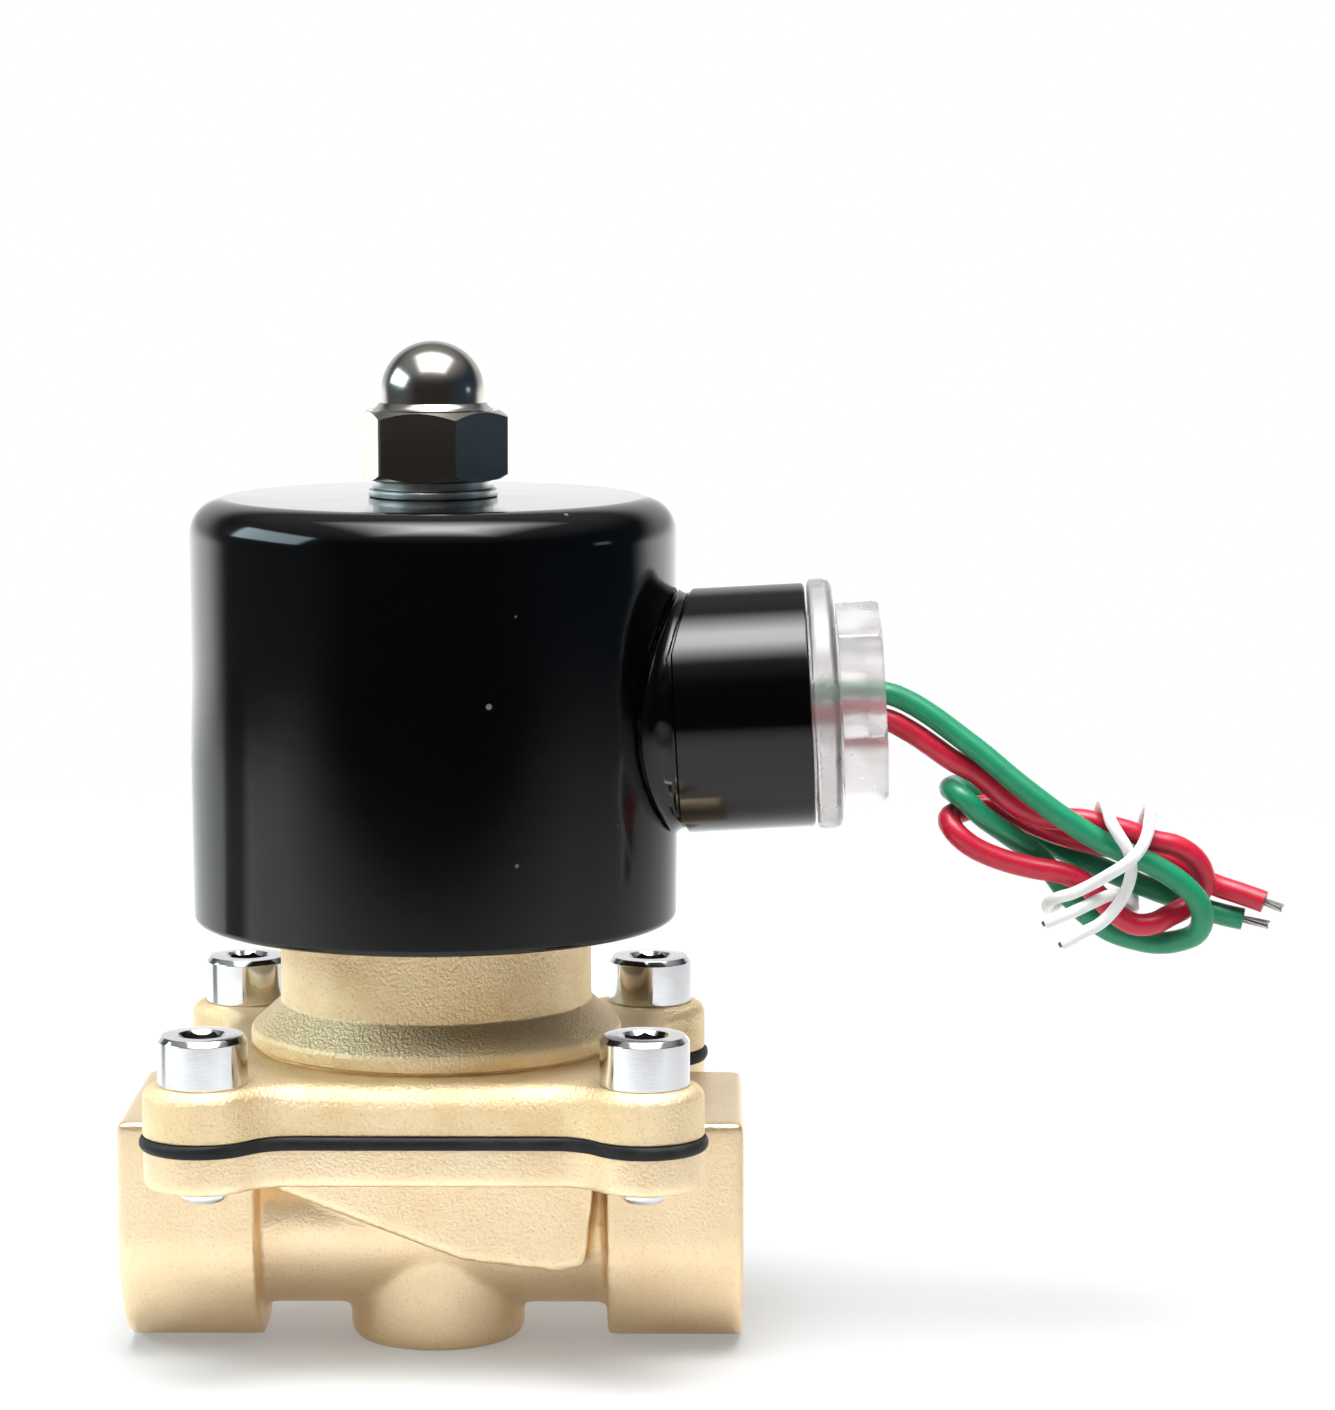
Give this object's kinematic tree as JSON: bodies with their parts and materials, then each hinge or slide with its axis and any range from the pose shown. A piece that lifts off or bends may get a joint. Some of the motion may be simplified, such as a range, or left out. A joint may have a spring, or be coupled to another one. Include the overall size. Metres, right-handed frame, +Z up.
{
  "type": "solenoid valve",
  "caption": "Two-way pilot-operated solenoid valve: a brass body with in-line threaded ports, a bolted bonnet, a round black coil on a stem and short tied leads.",
  "frame": {"origin": "centre of the flat underside of the boss below the seat, where the valve stands", "axes": "+Z up the armature tube and the coil, +X out of the outlet port, on the side of the conduit hub and the leads, +Y away from the front side"},
  "size_m": [0.1227, 0.0576, 0.1062],
  "materials": {
    "cast_brass": "sand-blasted forging",
    "turned_brass": "turned",
    "steel": "turned stainless",
    "chrome": "bright nickel plate",
    "copper": "enamelled copper",
    "black_paint": "gloss",
    "rubber": "moulded nitrile rubber",
    "nylon": "natural nylon",
    "tape": "polyester winding tape",
    "resin": "potting resin",
    "clear_plastic": "clear moulded plastic",
    "green_pvc": "extruded PVC",
    "red_pvc": "extruded PVC",
    "white_pvc": "extruded PVC",
    "tinned_wire": "tinned copper strands"
  },
  "bodies": {
    "housing": {"valve_body": "cast_brass", "bonnet": "cast_brass", "cap_screw_1": "chrome", "cap_screw_2": "chrome", "cap_screw_3": "chrome", "cap_screw_4": "chrome", "diaphragm_rim": "rubber", "diaphragm_web": "rubber", "armature_tube": "steel", "tube_o_ring": "rubber", "tube_ring_nut": "turned_brass", "fixed_core": "steel", "shading_ring": "copper", "plunger_spring": "steel", "flat_washer": "chrome", "spring_washer": "chrome", "acorn_nut": "chrome"},
    "diaphragm": {"seat_seal": "rubber", "diaphragm_plate": "steel", "pilot_insert": "turned_brass", "lift_hanger": "steel"},
    "plunger": {"plunger": "steel", "plunger_seal": "rubber"},
    "coil": {"coil_can": "black_paint", "can_bottom_plate": "black_paint", "yoke_top_plate": "steel", "bobbin": "nylon", "winding": "copper", "winding_tape": "tape", "flux_sleeve_lower": "steel", "flux_sleeve_upper": "steel", "potting": "resin", "conduit_hub": "black_paint", "conduit_bushing": "clear_plastic", "splice_sleeve_green": "nylon", "splice_sleeve_red": "nylon", "magnet_wire_green": "copper", "magnet_wire_red": "copper", "lead_green": "green_pvc", "lead_red": "red_pvc", "conductor_green": "tinned_wire", "conductor_red": "tinned_wire", "wire_tie": "white_pvc"}
  },
  "joints": [
    {"name": "plunger_lift", "type": "slide", "parent": "housing", "child": "plunger", "axis": [0, 0, 1], "range_m": [0, 0.004], "stiffness_N_per_m": 300, "springref_m": -0.003, "deforming": ["plunger_spring"]},
    {"name": "diaphragm_lift", "type": "slide", "parent": "housing", "child": "diaphragm", "axis": [0, 0, 1], "range_m": [0, 0.0028], "deforming": ["diaphragm_web"]},
    {"name": "coil_swivel", "type": "hinge", "parent": "housing", "child": "coil", "pos_m": [0, 0, 0.0452], "axis": [0, 0, 1], "continuous": true}
  ],
  "couplings": [
    {"joint": "diaphragm_lift", "follows": "plunger_lift", "ratio": 0.7}
  ]
}
